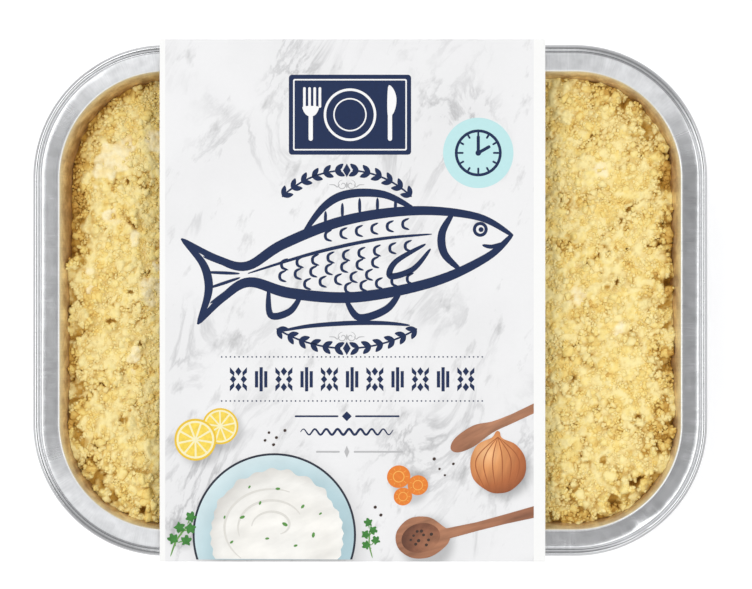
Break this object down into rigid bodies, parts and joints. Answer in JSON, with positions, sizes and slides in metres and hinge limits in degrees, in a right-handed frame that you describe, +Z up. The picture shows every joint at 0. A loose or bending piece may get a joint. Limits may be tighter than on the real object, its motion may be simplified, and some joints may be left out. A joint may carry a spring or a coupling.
{
  "type": "dish of fish gratin",
  "caption": "Rectangular foil tray with rounded corners, filled with fish gratin under pale bread crumbs, held in a printed carton sleeve that is open at both ends.",
  "frame": {"origin": "middle of the pack's underside", "axes": "+X along the tray, +Y across it towards the back of the print, +Z up"},
  "size_m": [0.19, 0.1472, 0.0324],
  "materials": {
    "foil": "smooth rolled foil, satin, with fine wrinkles round the corners of the rim",
    "crumbs": "pale yellow bread crumbs, dry and uneven, over a fish gratin",
    "carton": "white coated board with a printed field of pale marble, navy, aqua, wood brown and green shapes"
  },
  "bodies": {
    "root": {"tray": "foil", "gratin": "crumbs", "sleeve": "carton"}
  },
  "joints": []
}
